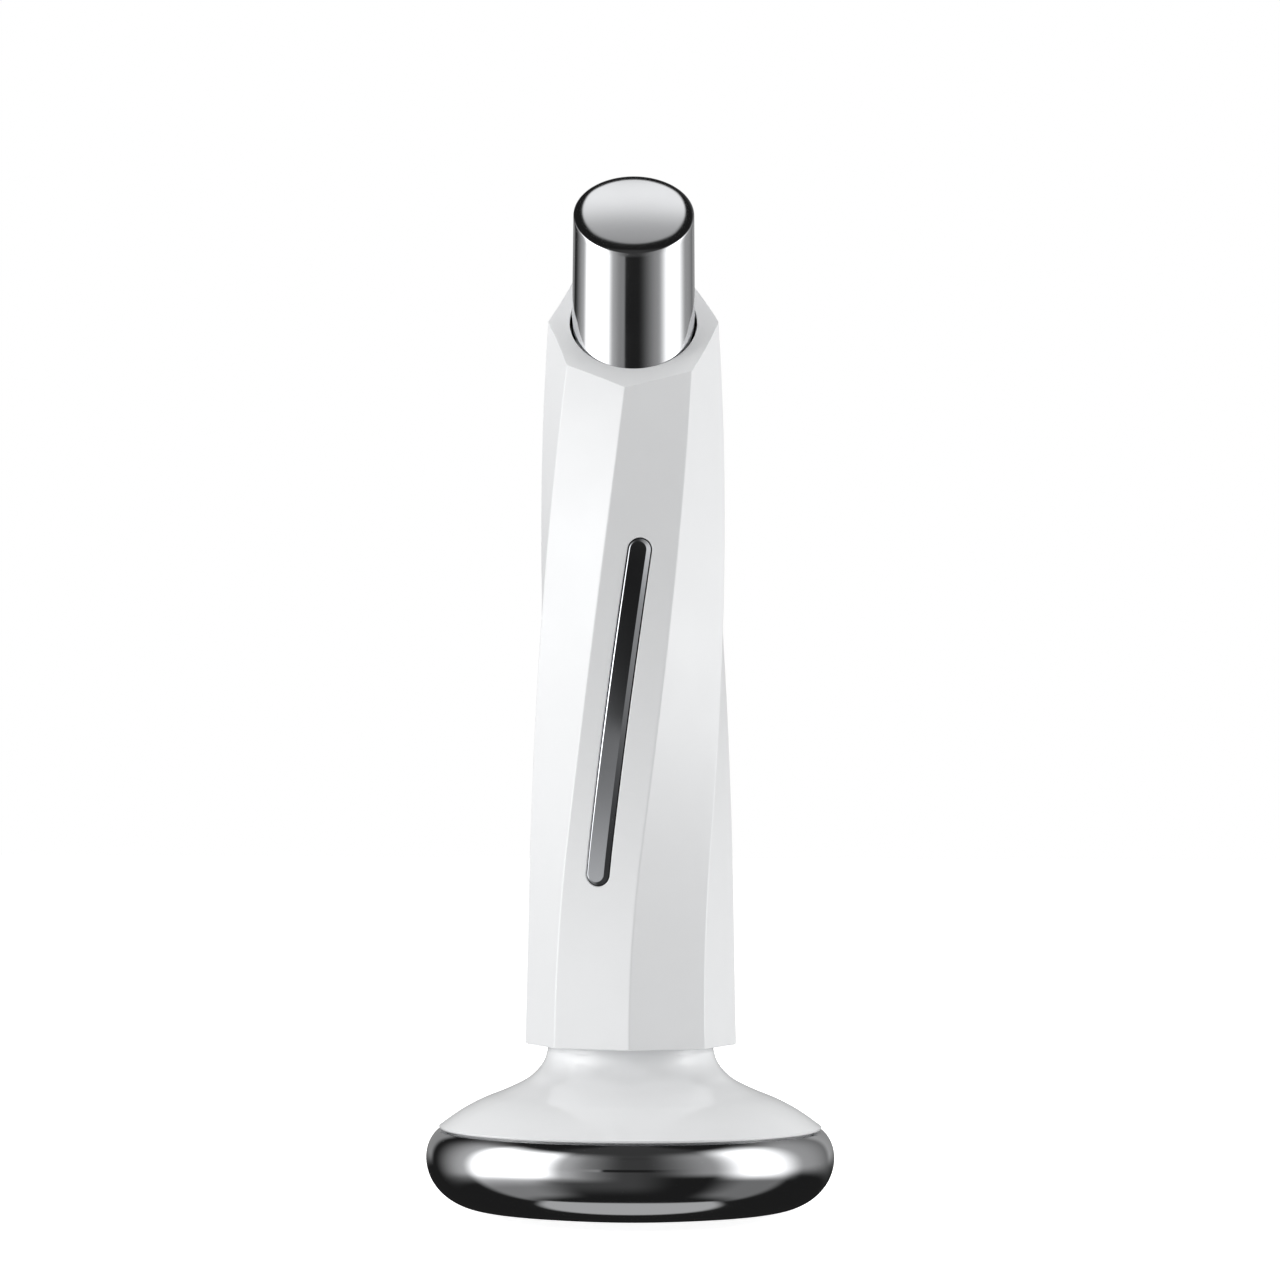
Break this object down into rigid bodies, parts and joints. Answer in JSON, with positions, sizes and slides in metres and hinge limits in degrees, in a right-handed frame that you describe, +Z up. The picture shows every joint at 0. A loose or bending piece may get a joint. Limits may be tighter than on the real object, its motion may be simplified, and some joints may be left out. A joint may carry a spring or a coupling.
{
  "type": "facial massager",
  "caption": "Hand-held facial massager: twisted white octagonal handle, slanted metal tip above, round metal disc below, power button on the back.",
  "frame": {"origin": "centre of the flat under the disc, on which the massager stands", "axes": "+Z up along the handle, -Y towards the front with the contact strip, +X to the right seen from the front"},
  "size_m": [0.0602, 0.0602, 0.1544],
  "materials": {
    "white_abs": "moulded white ABS with a soft gloss",
    "polished_steel": "polished stainless steel",
    "chrome_strip": "mirror chrome plating",
    "black_rubber": "moulded black rubber and foam",
    "grey_nylon": "moulded grey nylon",
    "steel": "zinc-plated steel",
    "cell_wrap": "metal cell in a printed-free blue shrink wrap",
    "nickel": "nickel strip",
    "board_laminate": "glass-fibre board with green solder mask",
    "black_plastic": "moulded black plastic",
    "clear_lens": "milky clear acrylic",
    "ceramic": "white ceramic",
    "white_nylon": "natural nylon",
    "grey_silicone": "grey silicone heat pad",
    "aluminium": "plain sheet aluminium",
    "brass": "machined and stamped brass",
    "red_lead": "red silicone insulation",
    "black_lead": "black silicone insulation",
    "white_lead": "white silicone insulation"
  },
  "bodies": {
    "massager_body": {"handle_sleeve": "white_abs", "base_skirt": "white_abs", "tip_cap": "polished_steel", "face_disc": "polished_steel", "contact_strip": "chrome_strip", "strip_gasket": "black_rubber", "tip_seal": "black_rubber", "neck_seal": "black_rubber", "disc_seal": "black_rubber", "motor_cradle": "black_rubber", "tip_carrier": "grey_nylon", "inner_frame": "grey_nylon", "motor_can": "steel", "charging_socket": "steel", "coil_inductor": "steel", "clamp_screw_1": "steel", "clamp_screw_2": "steel", "clamp_screw_3": "steel", "base_screw_left": "steel", "base_screw_right": "steel", "carrier_screw_left": "steel", "carrier_screw_right": "steel", "board_screw_lower": "steel", "board_screw_upper": "steel", "battery_cell": "cell_wrap", "cell_tab_top": "nickel", "cell_tab_bottom": "nickel", "main_board": "board_laminate", "tact_switch": "black_plastic", "control_chip": "black_plastic", "socket_tongue": "black_plastic", "thermistor_bead": "black_plastic", "level_lens_1": "clear_lens", "level_lens_2": "clear_lens", "level_lens_3": "clear_lens", "level_led_1": "ceramic", "level_led_2": "ceramic", "level_led_3": "ceramic", "heater_plate": "ceramic", "lead_connector": "white_nylon", "thermal_pad": "grey_silicone", "heater_clamp": "aluminium", "buffer_capacitor": "aluminium", "ring_terminal": "brass", "strip_contact_pin": "brass", "heater_lead_red": "red_lead", "motor_lead_red": "red_lead", "heater_lead_black": "black_lead", "motor_lead_black": "black_lead", "thermistor_lead": "black_lead", "disc_lead": "white_lead", "strip_lead": "white_lead"},
    "power_button": {"power_button": "white_abs", "switch_plunger": "grey_nylon"},
    "motor_rotor": {"rotor_shaft": "steel", "eccentric_weight": "brass"}
  },
  "joints": [
    {"name": "power_button_press", "type": "slide", "parent": "massager_body", "child": "power_button", "axis": [-0.0186, -0.9996, -0.02], "range_m": [0, 0.0004], "stiffness_N_per_m": 1200, "springref_m": -0.0004},
    {"name": "motor_spin", "type": "hinge", "parent": "massager_body", "child": "motor_rotor", "pos_m": [0, 0, 0.127], "axis": [0, 0, 1], "continuous": true}
  ]
}
